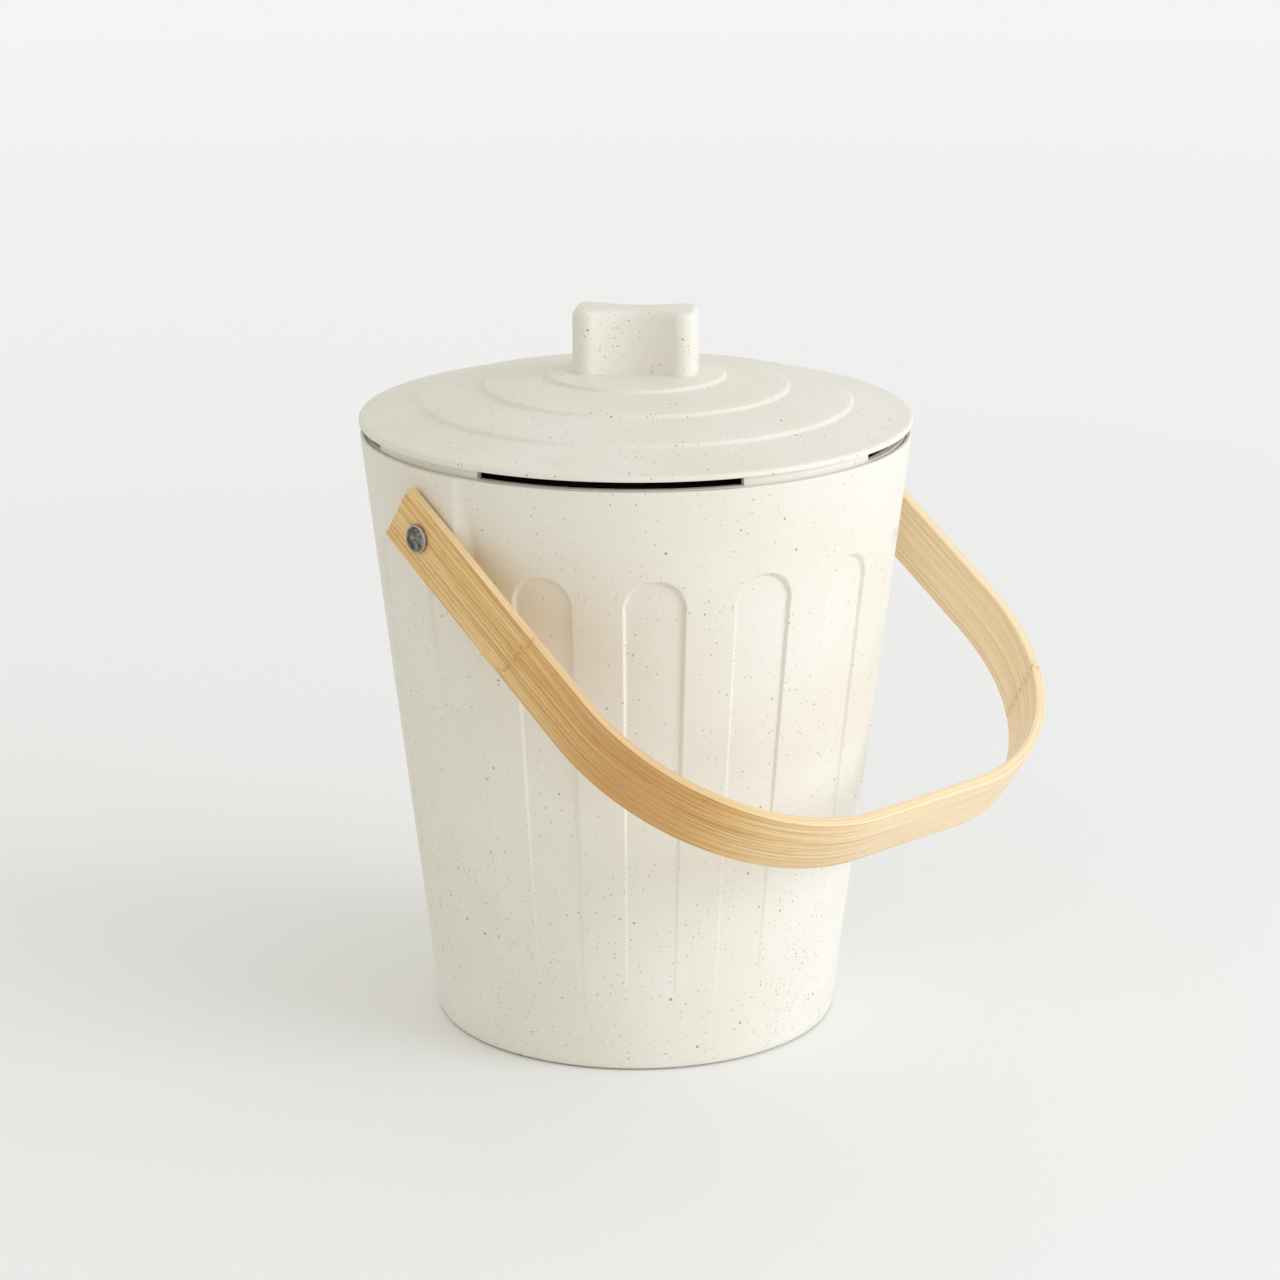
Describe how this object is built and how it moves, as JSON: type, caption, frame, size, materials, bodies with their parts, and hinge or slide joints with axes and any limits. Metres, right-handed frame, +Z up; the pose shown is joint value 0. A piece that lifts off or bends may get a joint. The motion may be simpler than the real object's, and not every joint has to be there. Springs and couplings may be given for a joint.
{
  "type": "compost caddy",
  "caption": "Tapered countertop compost caddy with fluted sides, a vented lift-off lid with a bar knob and a bent bamboo bail handle.",
  "frame": {"origin": "centre of the flat base on the surface it stands on", "axes": "+Z up along the pail's axis, +X along the handle's pivot axis, -Y the side the bail rests on"},
  "size_m": [0.2016, 0.2342, 0.2508],
  "materials": {
    "caddy_body": "matte, finely speckled",
    "bamboo": "satin lacquer",
    "gunmetal": "dark, worn",
    "steel": "satin",
    "charcoal": "open carbon fibre"
  },
  "bodies": {
    "pail": {"bucket": "caddy_body", "pivot_post_left": "gunmetal", "pivot_post_right": "gunmetal", "spacer_washer_left": "gunmetal", "spacer_washer_right": "gunmetal", "inner_washer_left": "steel", "inner_washer_right": "steel", "pivot_screw_left": "steel", "pivot_screw_right": "steel"},
    "bail": {"handle_outer_ply": "bamboo", "handle_core_ply": "bamboo", "handle_inner_ply": "bamboo"},
    "lid": {"lid_plate": "caddy_body", "vent_ring": "caddy_body", "charcoal_filter": "charcoal", "filter_grille": "caddy_body", "lid_knob": "caddy_body", "knob_screw": "steel", "knob_washer": "steel"}
  },
  "joints": [
    {"name": "bail_swing", "type": "hinge", "parent": "pail", "child": "bail", "pos_m": [0, 0, 0.1873], "axis": [-1, 0, 0], "range_deg": [-23, 270.4]},
    {"name": "lid_lift", "type": "slide", "parent": "pail", "child": "lid", "axis": [0, 0, 1], "range_m": [0, 0.06]}
  ]
}
